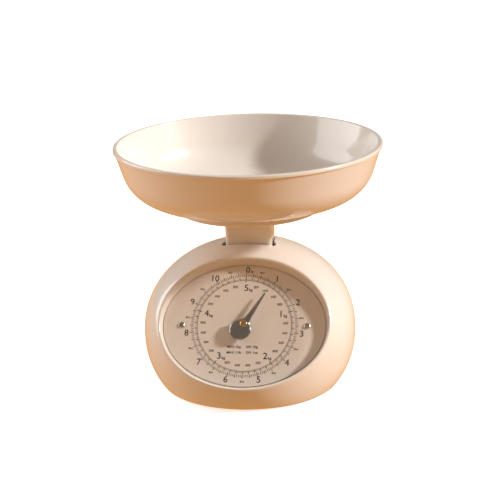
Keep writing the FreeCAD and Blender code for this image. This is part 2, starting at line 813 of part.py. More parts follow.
def make_pointer():
    """A long needle with a round tail, turned to its reading."""
    bulb = rod("pointer_bulb", "pointer_thickness", "0", "-pointer_bulb_offset", "pointer_rise")
    needle = (
        ("-7.6", "-2"), ("7.6", "-2"), ("4.4", "3.2"), ("2.5", "8"),
        ("0.65", "pointer_length"), ("-0.65", "pointer_length"), ("-2.5", "8"), ("-4.4", "3.2"),
    )
    blade = extrude(needle, "pointer_thickness", Rotation(), "0", "0", "pointer_rise")
    bore = rod("shaft_radius + press_gap", "4", "0", "0", "3")
    turned = Rotation(Vector(0, 0, 1), -size("reading_angle"))
    reading = Placement(DIAL_FRAME.Base, DIAL_FRAME.Rotation.multiply(turned))
    keep(cut(fuse(bulb, blade), bore), "pointer", reading)
    collar = cut(
        rod("hub_radius", "hub_height", "0", "0", "hub_rise"),
        rod("shaft_radius + press_gap", "5", "0", "0", "0"),
    )
    keep(collar, "pointer_hub", DIAL_FRAME)
    cap = cut(
        rod("cap_radius", "cap_height", "0", "0", "cap_rise"),
        rod("shaft_radius + press_gap", "0.85", "0", "0", "cap_rise - 0.05"),
    )
    keep(cap, "pointer_cap", DIAL_FRAME)


# ---------------------------------------------------------------- housing

def pebble(inset):
    """The housing's closed outer form, shrunk by an inset: a leaning superellipsoid."""
    radius = size("body_radius") - inset
    rise = size("body_half_height") - inset
    power = 2 / size("body_power")
    steps = 16
    section = []
    for i in range(steps + 1):
        angle = math.pi * (i / steps - 0.5)
        away = math.cos(angle) ** power if 0 < i < steps else 0.0
        up = math.copysign(abs(math.sin(angle)) ** power, math.sin(angle))
        section.append(Vector(radius * away, 0, rise * up))
    curve = Part.BSplineCurve()
    ends = {"InitialTangent": Vector(1, 0, 0), "FinalTangent": Vector(-1, 0, 0)}
    curve.interpolate(Points=section, Scale=False, **ends)
    axis = Part.LineSegment(section[-1], section[0])
    face = Part.Face(Part.Wire([curve.toShape(), axis.toShape()]))
    solid = face.revolve(Vector(), Vector(0, 0, 1), 360)
    lean = Rotation(Vector(1, 0, 0), size("body_lean"))
    solid.Placement = Placement(Vector(0, size("body_y"), size("body_z")), lean)
    return solid


def oval_wire(width, height, rise):
    ellipse = Part.Ellipse(Vector(), width, height)
    wire = Part.Wire(ellipse.toShape())
    wire.translate(Vector(0, 0, rise))
    return wire


def tapered_oval(grow, low, high):
    """The recess's slanted wall as a solid between two heights, grown by a margin."""
    slant_x = (size("lip_width") - size("dial_width")) / size("lip_rise")
    slant_y = (size("lip_height") - size("dial_height")) / size("lip_rise")
    wires = []
    for rise in (low, high):
        wires.append(oval_wire(
            size("dial_width") + grow + slant_x * rise,
            size("dial_height") + grow + slant_y * rise,
            rise,
        ))
    solid = Part.makeLoft(wires, True, True)
    solid.Placement = DIAL_FRAME
    return solid


def straight_oval(width, height, low, high):
    solid = Part.Face(oval_wire(width, height, low)).extrude(Vector(0, 0, high - low))
    solid.Placement = DIAL_FRAME
    return solid


BASE_SCREW_ANGLES = (-142, -38, 2, 178)


def base_place(angle, circle):
    turn = math.radians(angle)
    return Vector(circle * math.cos(turn), size("base_centre_y") + circle * math.sin(turn), 0)


BACKWARDS = Vector(0, 1, 0)


def cover_screw_places():
    return -size("cover_screw_x"), size("cover_screw_x")


def housing_bosses():
    """Screw bosses left standing inside: four for the base, two for the rear cover."""
    bosses = []
    top = 14.0
    start = size("floor_top") + 0.03
    for angle in BASE_SCREW_ANGLES:
        place = base_place(angle, size("base_screw_circle")) + Vector(0, 0, start)
        web = Part.makeBox(22, 3, top - start, Vector(0, -1.5, 0))
        web.Placement = Placement(place, Rotation(Vector(0, 0, 1), angle))
        bosses.append(Part.makeCylinder(4, top - start, place).fuse(web))
    for x in cover_screw_places():
        bosses.append(Part.makeCylinder(4.5, 30, Vector(x, 48.05, size("cover_screw_z")), BACKWARDS))
    return bosses


def make_housing():
    outer = pebble(0)
    room = pebble(size("body_wall"))
    seat = -size("dial_thickness")
    back = seat - size("flange_thickness")
    room = room.cut(tapered_oval(size("body_wall"), back, 60))
    for boss in housing_bosses():
        room = room.cut(boss)
    shell = outer.cut(room).cut(tapered_oval(0, seat, 60))
    shell = shell.cut(straight_oval(size("flange_width"), size("flange_height"), back - 1, seat + 1))
    lip = []
    for edge in [e for e in shell.Edges if not e.Degenerated]:
        places = [DIAL_FRAME.inverse().multVec(p) for p in edge.discretize(9)]
        widths = [math.hypot(p.x / size("lip_width"), p.y / size("lip_height")) for p in places]
        if all(p.z > 2 for p in places) and all(0.9 < w < 1.2 for w in widths):
            lip.append(edge)
    shell = shell.makeFillet(size("lip_round"), lip)
    width = size("slot_width")
    depth = size("slot_depth")
    slot = Part.makeBox(width, depth, 60, Vector(-width / 2, -depth / 2, 100))
    upright = [e for e in slot.Edges if abs(e.tangentAt(e.FirstParameter).z) > 0.9]
    shell = shell.cut(slot.makeFillet(size("slot_corner"), upright))
    below = Part.makeBox(400, 400, 200, Vector(-200, -200, size("body_bottom") - 200))
    shell = shell.cut(below)
    for x in ("-dial_screw_x", "dial_screw_x"):
        hole = Part.makeCylinder(size("screw_radius") + 0.1, 12, Vector(size(x), 0, -9))
        hole.Placement = DIAL_FRAME.multiply(hole.Placement)
        shell = shell.cut(hole)
    for angle in BASE_SCREW_ANGLES:
        place = base_place(angle, size("base_screw_circle")) + Vector(0, 0, 3)
        shell = shell.cut(Part.makeCylinder(size("screw_radius") + 0.02, 9.5, place))
    wheel_floor = size("bridge_z + sheet + 0.2")
    shell = shell.cut(Part.makeBox(32, 30, size("wheel_height") + 1.6, Vector(-16, 44, wheel_floor)))
    for x in cover_screw_places():
        inside = Vector(x, 44, size("cover_screw_z"))
        sunk = Vector(x, size("cover_screw_head_y"), size("cover_screw_z"))
        shell = shell.cut(Part.makeCylinder(size("screw_radius") + 0.05, 40, inside, BACKWARDS))
        shell = shell.cut(Part.makeCylinder(3.3, 40, sunk, BACKWARDS))
    seam = size("seam_y")
    behind = Part.makeBox(400, 400, 400, Vector(-200, seam, -200))
    shaped(shell.cut(behind), "front_housing")
    shaped(shell.common(behind), "rear_cover")


def make_base():
    slab = Part.makeBox(400, 400, size("floor_top - base_bottom"), Vector(-200, -200, size("base_bottom")))
    plate = pebble(size("body_wall") + 0.3).common(slab)
    hole_radius = size("screw_radius") + 0.1
    places = [base_place(angle, size("base_screw_circle")) for angle in BASE_SCREW_ANGLES]
    places += [Vector(size(x), size(y), 0) for x, y in CHASSIS_SCREWS]
    for place in places:
        plate = plate.cut(Part.makeCylinder(hole_radius, 9, place))
        sink = size("head_height") + 0.1
        plate = plate.cut(Part.makeCylinder(size("head_radius") + 0.2, sink, place + Vector(0, 0, 2)))
    shaped(plate, "base_plate")
    head = "base_bottom + head_height + 0.08"
    heads = []
    for place in places[:4]:
        heads.append(screw("head_radius", "head_height", "8.3", "%g" % place.x, "%g" % place.y, head, "Z"))
    keep(group(heads), "base_screws")
    short = [screw("head_radius", "head_height", "4", x, y, head, "Z") for x, y in CHASSIS_SCREWS]
    keep(group(short), "chassis_screws")
    rear = []
    for x in ("-cover_screw_x", "cover_screw_x"):
        rear.append(screw("head_radius", "head_height", "14", x, "cover_screw_head_y", "cover_screw_z", "-Y"))
    keep(group(rear), "rear_cover_screws")
    feet = []
    for angle in (-135, -45, 45, 135):
        place = base_place(angle, size("foot_circle"))
        feet.append(rod("foot_radius", "base_bottom - 0.02", "%g" % place.x, "%g" % place.y, "0"))
    keep(group(feet), "rubber_feet")


def check_and_export():
    """Stops on any failed object, then writes one file per sub-part."""
    doc.recompute()
    for obj in doc.Objects:
        bad = [state for state in obj.State if state in ("Invalid", "Error")]
        if bad:
            raise RuntimeError("%s (%s) failed: %s" % (obj.Name, obj.Label, bad))
    os.makedirs("parts", exist_ok=True)
    for obj in nodes:
        if obj.Shape.isNull() or not obj.Shape.isValid():
            raise RuntimeError("%s has no valid shape" % obj.Label)
        obj.Shape.exportStep("parts/%s.step" % obj.Label)
        print("%-26s solids %2d volume %10.1f mm3" % (obj.Label, len(obj.Shape.Solids), obj.Shape.Volume))
    print(len(nodes), "nodes")


make_bowl()
make_platform()
make_platform_screws()
make_column()
make_carriage_bracket()
make_bracket_screws()
make_rack_arm()
make_arm_fasteners()
make_lever("upper_lever", "upper_pivot_z", "-8.75")
make_lever("lower_lever", "lower_pivot_z", "-19.75")
make_lever_pins()
make_clips()
make_chassis()
make_bumper()
make_springs()
make_hanger()
make_zero_wheel()
make_dial()
make_lens()
make_movement()
make_arbor()
make_rack()
make_pointer()
make_housing()
make_base()
check_and_export()
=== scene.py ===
"""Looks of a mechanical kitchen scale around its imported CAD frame: cream gloss plastic shells, a printed
dial under a clear lens, a chrome teardrop pointer and a wide bowl, in plain studio light."""
import json
import math

import bmesh
import bpy
import numpy as np
from mathutils import Matrix, Vector


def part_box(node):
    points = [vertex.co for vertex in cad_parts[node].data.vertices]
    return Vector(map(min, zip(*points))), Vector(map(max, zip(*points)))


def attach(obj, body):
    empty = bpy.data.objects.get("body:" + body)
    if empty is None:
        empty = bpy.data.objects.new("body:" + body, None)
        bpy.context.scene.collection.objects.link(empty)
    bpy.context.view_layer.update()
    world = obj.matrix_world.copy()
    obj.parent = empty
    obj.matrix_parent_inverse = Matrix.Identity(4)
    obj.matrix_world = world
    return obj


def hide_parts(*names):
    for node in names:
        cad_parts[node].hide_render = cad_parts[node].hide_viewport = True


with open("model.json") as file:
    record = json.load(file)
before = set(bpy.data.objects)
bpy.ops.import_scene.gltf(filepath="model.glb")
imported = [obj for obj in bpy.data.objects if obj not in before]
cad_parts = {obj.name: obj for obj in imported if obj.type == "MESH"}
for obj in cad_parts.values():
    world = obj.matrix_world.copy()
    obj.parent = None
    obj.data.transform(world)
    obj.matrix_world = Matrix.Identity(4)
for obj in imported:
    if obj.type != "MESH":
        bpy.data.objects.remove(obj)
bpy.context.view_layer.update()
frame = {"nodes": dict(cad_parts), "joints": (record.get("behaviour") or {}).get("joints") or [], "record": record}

MM = 0.001
JOINTS = {joint["name"]: joint for joint in frame["joints"]}

# ---------------------------------------------------------------- driving dimensions

# the dial's own axes, from the pointer's and the rack's joints
DIAL_CENTRE = Vector(JOINTS["pointer_spin"]["pos_m"])
DIAL_NORMAL = Vector(JOINTS["pointer_spin"]["axis"]).normalized()
DIAL_UP = Vector(JOINTS["rack_slide"]["axis"]).normalized()
DIAL_RIGHT = Vector((1, 0, 0))
DIAL_MATRIX = Matrix((
    (DIAL_RIGHT.x, DIAL_UP.x, DIAL_NORMAL.x, DIAL_CENTRE.x),
    (DIAL_RIGHT.y, DIAL_UP.y, DIAL_NORMAL.y, DIAL_CENTRE.y),
    (DIAL_RIGHT.z, DIAL_UP.z, DIAL_NORMAL.z, DIAL_CENTRE.z),
    (0, 0, 0, 1),
))

# the pointer's place in the rest pose, clockwise from zero
READING_ANGLE = math.radians(31.5)

# housing: a leaning superellipsoid with a flat base, the same as the CAD model's
BODY_CENTRE = Vector((0, -23.0, 48.4)) * MM
BODY_RADIUS = 95.6 * MM
BODY_HALF_HEIGHT = 74.2 * MM
BODY_POWER = 2.22
BODY_LEAN = math.radians(17.9)
BODY_BOTTOM = 1.0 * MM
SHELL = 2.3 * MM

# the seam between the shells, and the rounds at their edges, which turn in towards the middle of the base
SEAM_Y = 30.0 * MM
SEAM_GAP = 0.12 * MM
SEAM_ROUND = 0.35 * MM
BASE_ROUND = 2.6 * MM
NEAR_BASE = 0.5 * MM
BASE_MIDDLE_Y = -30.0 * MM
TURN_IN_SHARE = 0.8

# dial recess: half sizes of its lip, its floor and the opening in the floor, across and up
LIP_HALF = (75.4 * MM, 59.2 * MM)
DIAL_HALF = (72.4 * MM, 56.2 * MM)
FLANGE_HALF = (48.0 * MM, 38.0 * MM)

# heights from the dial's face: up to the lip, down to the recess floor and to where the front's rays start
LIP_RISE = 8.9 * MM
FLANGE_DEPTH = 1.5 * MM
FRONT_HEART_DEPTH = 47.4 * MM

# how far from the recess's edge the lip's round reaches, outside and along the recess wall
LIP_REACH = 4.2 * MM
LIP_WALL_SHARE = 0.8

# the column's slot, cut from above, with its two front notches
SLOT_HALF = (22.4 * MM, 18.2 * MM)
SLOT_CORNER = 4.0 * MM
NOTCH_HALF = (24.5 * MM, 5.4 * MM)
NOTCH_CORNER = 3.2 * MM
NOTCH_Y = -12.8 * MM
SLOT_LOW = 100 * MM
SLOT_HIGH = 150 * MM

# the rear cover's slot for the zero wheel, and its two screw sinks, which start at SINK_START in y and z
WHEEL_SLOT_HALF = (16 * MM, 15 * MM)
WHEEL_SLOT_Y = 59 * MM
WHEEL_SLOT_CORNER = 2 * MM
WHEEL_GAP = 0.8 * MM
SINK_RADIUS = 3.4 * MM
SINK_DEPTH = 30 * MM
SINK_X = 24 * MM
SINK_START = (58.5 * MM, 45 * MM)


# ---------------------------------------------------------------- mesh helpers

def add_object(name, mesh):
    obj = bpy.data.objects.new(name, mesh)
    bpy.context.scene.collection.objects.link(obj)
    return obj


def mesh_object(name, points, faces, smooth_angle=40):
    """A new mesh object, smooth except across sharp edges."""
    mesh = bpy.data.meshes.new(name)
    mesh.from_pydata([tuple(p) for p in points], [], faces)
    clean = bmesh.new()
    clean.from_mesh(mesh)
    bmesh.ops.remove_doubles(clean, verts=clean.verts, dist=1e-6)
    bmesh.ops.recalc_face_normals(clean, faces=clean.faces)
    clean.to_mesh(mesh)
    clean.free()
    smooth(mesh, smooth_angle)
    return add_object(name, mesh)


def smooth(mesh, angle):
    mesh.shade_smooth()
    mesh.set_sharp_from_angle(angle=math.radians(angle))


def grid_faces(rows, columns, closed):
    """Quads over a grid of points stored row by row; closed joins the last column to the first."""
    faces = []
    last = columns if closed else columns - 1
    for row in range(rows - 1):
        for column in range(last):
            right = (column + 1) % columns
            faces.append((
                row * columns + column,
                row * columns + right,
                (row + 1) * columns + right,
                (row + 1) * columns + column,
            ))
    return faces


def rounded(corners, steps=8):
    """A polyline of (radius, height, round) corners with each corner of a round above 0 made an arc."""
    line = []
    for i, (x, z, radius) in enumerate(corners):
        here = Vector((x, z))
        if radius <= 0 or i in (0, len(corners) - 1):
            line.append((x, z))
            continue
        before = (Vector(corners[i - 1][:2]) - here).normalized()
        after = (Vector(corners[i + 1][:2]) - here).normalized()
        half = before.angle(after) / 2
        middle = here + (before + after).normalized() * (radius / math.sin(half))
        start = here + before * (radius / math.tan(half)) - middle
        end = here + after * (radius / math.tan(half)) - middle
        for step in range(steps + 1):
            spoke = start.slerp(end, step / steps)
            line.append(tuple(middle + spoke.normalized() * radius))
    return line


def lathe(name, corners, segments=192, steps=8):
    """A solid turned about Z from a half section; its ends lie on the axis or meet."""
    line = rounded(corners, steps)
    points = []
    for x, z in line:
        for i in range(segments):
            turn = 2 * math.pi * i / segments
            points.append((x * math.cos(turn), x * math.sin(turn), z))
    return mesh_object(name, points, grid_faces(len(line), segments, True))


def apply_modifiers(obj):
    bpy.context.view_layer.update()
    result = bpy.data.meshes.new_from_object(obj.evaluated_get(bpy.context.evaluated_depsgraph_get()))
    obj.modifiers.clear()
    obj.data = result
    smooth(obj.data, 40)


def cut_with(obj, cutters):
    """Cuts closed tools out of an object and leaves no modifier behind."""
    for cutter in cutters:
        modifier = obj.modifiers.new("cut", "BOOLEAN")
        modifier.operation = "DIFFERENCE"
        modifier.solver = "EXACT"
        modifier.object = cutter
    apply_modifiers(obj)
    for cutter in cutters:
        bpy.data.objects.remove(cutter)


def rounded_prism(name, half_x, half_y, low, high, corner, centre=(0, 0), steps=8):
    """An upright rectangular solid with rounded upright edges."""
    ring = []
    for sx, sy, first in ((1, 1, 0), (-1, 1, 90), (-1, -1, 180), (1, -1, 270)):
        for step in range(steps + 1):
            turn = math.radians(first + 90 * step / steps)
            ring.append((
                centre[0] + sx * (half_x - corner) + corner * math.cos(turn),
                centre[1] + sy * (half_y - corner) + corner * math.sin(turn),
            ))
    points = [(x, y, z) for z in (low, high) for x, y in ring]
    faces = grid_faces(2, len(ring), True)
    faces += [tuple(range(len(ring))), tuple(range(len(ring), 2 * len(ring)))]
    return mesh_object(name, points, faces)


def replace_node(obj, node, material):
    """Puts an object in a CAD node's place, on that node's body."""
    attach(obj, body_of(node))
    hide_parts(node)
    give(obj, material)
    return obj


def body_of(node):
    for body, members in frame["record"]["behaviour"]["bodies"].items():
        if node in members:
            return body
    raise ValueError(node)


def slot_of(node):
    for row in frame["record"]["subparts"]:
        if row["node"] == node:
            return row["material_slot"]
    raise ValueError(node)


def give(obj, material):
    obj.data.materials.clear()
    obj.data.materials.append(material)


# ---------------------------------------------------------------- materials

def new_material(name, **inputs):
    """A Principled material; each input is set on the shader's own socket."""
    material = bpy.data.materials.new(name)
    material.use_nodes = True
    shader = material.node_tree.nodes["Principled BSDF"]
    for socket, value in inputs.items():
        shader.inputs[socket.replace("_", " ")].default_value = value
    return material, material.node_tree, shader


def add_node(tree, kind, **values):
    node = tree.nodes.new(kind)
    for name, value in values.items():
        if name in node.inputs:
            node.inputs[name].default_value = value
        else:
            setattr(node, name, value)
    return node


def noise(tree, scale, detail=3.0, roughness=0.5):
    coordinates = add_node(tree, "ShaderNodeTexCoord")
    texture = add_node(tree, "ShaderNodeTexNoise", Scale=scale, Detail=detail, Roughness=roughness)
    tree.links.new(coordinates.outputs["Object"], texture.inputs["Vector"])
    return texture


def vary_colour(tree, shader, low, high, scale):
    """Colour that drifts between two close tones."""
    texture = noise(tree, scale)
    ramp = add_node(tree, "ShaderNodeValToRGB")
    ramp.color_ramp.elements[0].position = 0.35
    ramp.color_ramp.elements[0].color = (*low, 1)
    ramp.color_ramp.elements[1].position = 0.65
    ramp.color_ramp.elements[1].color = (*high, 1)
    tree.links.new(texture.outputs["Fac"], ramp.inputs["Fac"])
    tree.links.new(ramp.outputs["Color"], shader.inputs["Base Color"])


def vary_roughness(tree, shader, low, high, scale):
    """Roughness that drifts, as handled plastic does."""
    texture = noise(tree, scale, 4.0, 0.6)
    spread = add_node(tree, "ShaderNodeMapRange")
    spread.inputs["To Min"].default_value = low
    spread.inputs["To Max"].default_value = high
    tree.links.new(texture.outputs["Fac"], spread.inputs["Value"])
    tree.links.new(spread.outputs["Result"], shader.inputs["Roughness"])


def add_bump(tree, shader, scale, strength, distance, stretch=None):
    """A fine relief from noise, stretched along an axis for brushed metal."""
    texture = noise(tree, scale, 4.0)
    if stretch:
        mapping = add_node(tree, "ShaderNodeMapping")
        mapping.inputs["Scale"].default_value = stretch
        source = texture.inputs["Vector"].links[0].from_socket
        tree.links.new(source, mapping.inputs["Vector"])
        tree.links.new(mapping.outputs["Vector"], texture.inputs["Vector"])
    bump = add_node(tree, "ShaderNodeBump", Strength=strength, Distance=distance)
    tree.links.new(texture.outputs["Fac"], bump.inputs["Height"])
    tree.links.new(bump.outputs["Normal"], shader.inputs["Normal"])


def cream_plastic():
    material, tree, shader = new_material(
        "cream_gloss_plastic",
        IOR=1.5, Coat_Weight=0.6, Coat_Roughness=0.05, Subsurface_Weight=0.08, Subsurface_Scale=0.004,
    )
    shader.inputs["Subsurface Radius"].default_value = (1.0, 0.6, 0.35)
    vary_colour(tree, shader, (0.80, 0.735, 0.665), (0.825, 0.76, 0.69), 9.0)
    vary_roughness(tree, shader, 0.17, 0.27, 40.0)
    add_bump(tree, shader, 900.0, 0.05, 0.0002)
    return material


def base_plastic():
    material, tree, shader = new_material("cream_matt_plastic", IOR=1.49)
    vary_colour(tree, shader, (0.66, 0.53, 0.40), (0.71, 0.58, 0.45), 14.0)
    vary_roughness(tree, shader, 0.45, 0.6, 60.0)
    add_bump(tree, shader, 2400.0, 0.25, 0.0002)
    return material


def rubber():
    material, tree, shader = new_material("black_rubber", IOR=1.5)
    vary_colour(tree, shader, (0.018, 0.017, 0.016), (0.035, 0.033, 0.031), 120.0)
    vary_roughness(tree, shader, 0.6, 0.85, 200.0)
    add_bump(tree, shader, 3000.0, 0.4, 0.0002)
    return material


def metal(name, low, high, rough, brushed=None, bump=0.15):
    material, tree, shader = new_material(name, Metallic=1.0)
    vary_colour(tree, shader, low, high, 60.0)
    vary_roughness(tree, shader, rough[0], rough[1], 180.0)
    add_bump(tree, shader, 1200.0, bump, 0.0001, brushed)
    return material


def nylon():
    material, tree, shader = new_material(
        "natural_acetal", IOR=1.48, Subsurface_Weight=0.1, Subsurface_Scale=0.002,
    )
    vary_colour(tree, shader, (0.72, 0.70, 0.65), (0.8, 0.78, 0.73), 80.0)
    vary_roughness(tree, shader, 0.35, 0.5, 120.0)
    return material


def dial_face():
    material, tree, shader = new_material("printed_dial_face", IOR=1.45)
    vary_colour(tree, shader, (0.86, 0.775, 0.70), (0.89, 0.805, 0.725), 12.0)
    vary_roughness(tree, shader, 0.42, 0.52, 80.0)
    add_bump(tree, shader, 3000.0, 0.06, 0.0001)
    return material


def ink():
    material, tree, shader = new_material("brown_printing_ink", IOR=1.45)
    vary_colour(tree, shader, (0.012, 0.008, 0.006), (0.022, 0.015, 0.012), 400.0)
    vary_roughness(tree, shader, 0.45, 0.6, 300.0)
    return material


def lens_clear():
    """Clear acrylic: see-through, with the gloss of its faces at a glance."""
    material, tree, shader = new_material("clear_acrylic")
    tree.nodes.remove(shader)
    clear = add_node(tree, "ShaderNodeBsdfTransparent", Color=(0.985, 0.98, 0.97, 1))
    gloss = add_node(tree, "ShaderNodeBsdfGlossy")
    edge = add_node(tree, "ShaderNodeLayerWeight", Blend=0.35)
    strength = add_node(tree, "ShaderNodeMapRange")
    strength.inputs["From Min"].default_value = 0.45
    strength.inputs["To Min"].default_value = 0.035
    strength.inputs["To Max"].default_value = 0.35
    tree.links.new(edge.outputs["Facing"], strength.inputs["Value"])
    vary_roughness(tree, gloss, 0.03, 0.09, 30.0)
    mix = add_node(tree, "ShaderNodeMixShader")
    tree.links.new(strength.outputs["Result"], mix.inputs[0])
    tree.links.new(clear.outputs[0], mix.inputs[1])
    tree.links.new(gloss.outputs[0], mix.inputs[2])
    tree.links.new(mix.outputs[0], tree.nodes["Material Output"].inputs["Surface"])
    return material


CREAM = cream_plastic()
BASE = base_plastic()
RUBBER = rubber()
STEEL = metal("zinc_plated_sheet", (0.48, 0.49, 0.50), (0.62, 0.62, 0.62), (0.28, 0.42), (1, 14, 1))
SCREWS = metal("zinc_plated_screw", (0.50, 0.50, 0.50), (0.66, 0.65, 0.63), (0.2, 0.32))
SPRING = metal("spring_wire", (0.30, 0.30, 0.31), (0.45, 0.45, 0.46), (0.25, 0.4))
BRASS = metal("turned_brass", (0.60, 0.43, 0.20), (0.74, 0.56, 0.30), (0.16, 0.3))
CHROME = metal("polished_chrome", (0.40, 0.40, 0.39), (0.46, 0.46, 0.45), (0.09, 0.16), bump=0.03)
NYLON = nylon()
DIAL_FACE = dial_face()
INK = ink()
LENS = lens_clear()

BY_SLOT = {
    "cream_plastic": CREAM, "base_plastic": BASE, "rubber": RUBBER, "steel": STEEL, "zinc_screw": SCREWS,
    "spring_steel": SPRING, "dial_print": DIAL_FACE, "clear_lens": LENS, "brass": BRASS, "chrome": CHROME,
    "nylon": NYLON,
}
for node_name, cad_piece in frame["nodes"].items():
    give(cad_piece, BY_SLOT[slot_of(node_name)])


# ---------------------------------------------------------------- bowl, platform

def make_bowl():
    """The bowl with its foot ring, soft knee and rolled rim."""
    low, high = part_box("bowl")
    foot = low.z
    base = foot + 1.0 * MM
    rim = high.z
    reach = high.x
    wall = 2.4 * MM
    ring_inner = 57.0 * MM
    ring_outer = 60.0 * MM
    knee_out = (106.2 * MM, base + 10.7 * MM)
    knee_in = (103.3 * MM, base + 12.6 * MM)
    corners = [
        (0, base, 0),
        (ring_inner, base, 0),
        (ring_inner, foot, 0.3 * MM),
        (ring_outer, foot, 0.3 * MM),
        (ring_outer, base, 0),
        (64.0 * MM, base, 20 * MM),
        (*knee_out, 37 * MM),
        (reach - 1.2 * MM, rim - 3.4 * MM, 0.3 * MM),
        (reach, rim - 3.3 * MM, 0.55 * MM),
        (reach, rim, 1.3 * MM),
        (reach - 3.6 * MM, rim, 0.9 * MM),
        (*knee_in, 34.6 * MM),
        (63.4 * MM, base + wall, 20 * MM),
        (0, base + wall, 0),
    ]
    return lathe("bowl_shell", corners, 256, 14)


def make_platform():
    """The disc under the bowl: a boss, a thin plate with a turned-down edge, and the foot ring's groove."""
    low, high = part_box("platform")
    reach = high.x
    boss = 28.0 * MM
    under = high.z - 2.5 * MM
    edge = reach - 2.5 * MM
    groove_outer = 60.3 * MM
    groove_inner = 56.7 * MM
    groove_floor = high.z - 1.2 * MM
    corners = [
        (0, low.z, 0),
        (boss, low.z, 0.6 * MM),
        (boss, under, 0.6 * MM),
        (edge, under, 0.6 * MM),
        (edge, low.z, 0.5 * MM),
        (reach, low.z, 0.9 * MM),
        (reach, high.z, 1.3 * MM),
        (groove_outer, high.z, 0),
        (groove_outer, groove_floor, 0),
        (groove_inner, groove_floor, 0),
        (groove_inner, high.z, 0),
        (0, high.z, 0),
    ]
    return lathe("platform_disc", corners, 192, 6)


# ---------------------------------------------------------------- housing

HALVINGS = 40
LEAN_AXES = np.array([
    [1, 0, 0],
    [0, math.cos(BODY_LEAN), math.sin(BODY_LEAN)],
    [0, -math.sin(BODY_LEAN), math.cos(BODY_LEAN)],
])


def body_level(points):
    """Below 1 inside the housing's outer form, 1 on it."""
    local = (points - np.array(BODY_CENTRE)) @ LEAN_AXES.T
    around = np.hypot(local[:, 0], local[:, 1]) / BODY_RADIUS
    along = np.abs(local[:, 2]) / BODY_HALF_HEIGHT
    return (around ** BODY_POWER + along ** BODY_POWER) ** (1 / BODY_POWER)


def on_body(start, directions):
    """Where rays from an inner point leave the outer form."""
    near = np.zeros(len(directions))
    far = np.full(len(directions), 250 * MM)
    for _ in range(HALVINGS):
        middle = (near + far) / 2
        inside = body_level(start + directions * middle[:, None]) < 1
        near = np.where(inside, middle, near)
        far = np.where(inside, far, middle)
    return start + directions * near[:, None]


def last_holding(low, high, holds):
    """The last value, going up from low, for which a test still holds."""
    for _ in range(HALVINGS):
        middle = (low + high) / 2
        if holds(middle):
            low = middle
        else:
            high = middle
    return low


def resample(path, start, short, count):
    """Evenly spaced points on a path, from a distance after its start to a distance short of its end."""
    length = np.concatenate([[0], np.cumsum(np.linalg.norm(np.diff(path, axis=0), axis=1))])
    wanted = np.linspace(start, length[-1] - short, count)
    return np.stack([np.interp(wanted, length, path[:, axis]) for axis in range(3)], 1)


def end_round(end):
    """The round at an outer line's end: small at the seam, larger at the base."""
    return BASE_ROUND if end[2] < BODY_BOTTOM + NEAR_BASE else SEAM_ROUND


def turned_edge(last, end, middle_height):
    """A short curve from an outer line's last point that turns in at the seam or the base."""
    inward = np.array([-end[0], 0, middle_height - end[2]])
    if end_round(end) == BASE_ROUND:
        inward = np.array([-end[0], BASE_MIDDLE_Y - end[1], 0])
    inward = inward / np.linalg.norm(inward) * end_round(end) * TURN_IN_SHARE
    return bezier(last, end, end + inward, 4)


def bezier(a, b, c, steps):
    """Points of a curve from a to c that leans towards the corner b, without its first point."""
    return [a * (1 - t) ** 2 + b * 2 * t * (1 - t) + c * t * t for t in np.linspace(0, 1, steps + 1)[1:]]


def dial_point(across, up, rise):
    return np.array(DIAL_MATRIX @ Vector((across, up, rise)))


def recess_wall(cos, sin, rise):
    """A point on the dial recess's flaring wall, at a rise above the dial."""
    part = rise / LIP_RISE
    half = [floor + (lip - floor) * part for floor, lip in zip(DIAL_HALF, LIP_HALF)]
    return dial_point(half[0] * cos, half[1] * sin, rise)


def front_line(turn):
    """One line of the front shell: recess flange, wall, rounded lip, outer form to the seam or the base."""
    cos = math.cos(turn)
    sin = math.sin(turn)
    normal = np.array(DIAL_NORMAL)
    heart = np.array(DIAL_CENTRE) - normal * FRONT_HEART_DEPTH

    def in_body(rise):
        return body_level(recess_wall(cos, sin, rise)[None])[0] < 1

    corner_rise = last_holding(0.0, 50 * MM, in_body)
    corner = recess_wall(cos, sin, corner_rise)
    spoke = corner - heart
    spoke = spoke - normal * spoke.dot(normal)
    spoke = spoke / np.linalg.norm(spoke)

    def outside(angles):
        rays = normal * np.cos(angles)[:, None] + spoke * np.sin(angles)[:, None]
        return on_body(heart, rays)

    def in_shell(angle):
        place = outside(np.array([angle]))[0]
        return place[1] < SEAM_Y - SEAM_GAP and place[2] > BODY_BOTTOM

    first = math.atan2((corner - heart).dot(spoke), (corner - heart).dot(normal))
    last = last_holding(first, math.pi, in_shell)
    path = outside(first + (last - first) * np.linspace(0, 1, 400))
    outer = resample(path, LIP_REACH, end_round(path[-1]), 40)
    line = [dial_point(FLANGE_HALF[0] * cos, FLANGE_HALF[1] * sin, -FLANGE_DEPTH)]
    for rise in np.linspace(-FLANGE_DEPTH, corner_rise - LIP_REACH * LIP_WALL_SHARE, 6):
        line.append(recess_wall(cos, sin, rise))
    line += bezier(line[-1], corner, outer[0], 12)
    line += list(outer[1:])
    line += turned_edge(outer[-1], path[-1], BODY_CENTRE.z)
    return line


def rear_line(turn):
    """One line of the rear shell, from its rearmost point to the seam or the base."""
    heart = np.array([0, SEAM_Y, 60 * MM])
    spoke = np.array([math.cos(turn), 0, math.sin(turn)])

    def outside(angles):
        rays = np.outer(np.cos(angles), [0, 1, 0]) + np.outer(np.sin(angles), spoke)
        return on_body(heart, rays)

    def in_shell(angle):
        place = outside(np.array([angle]))[0]
        return place[1] > SEAM_Y + SEAM_GAP and place[2] > BODY_BOTTOM

    last = last_holding(0.0, math.pi / 2, in_shell)
    path = outside(np.linspace(0.0, last, 300))
    outer = resample(path, 0, end_round(path[-1]), 30)
    return list(outer) + turned_edge(outer[-1], path[-1], heart[2])


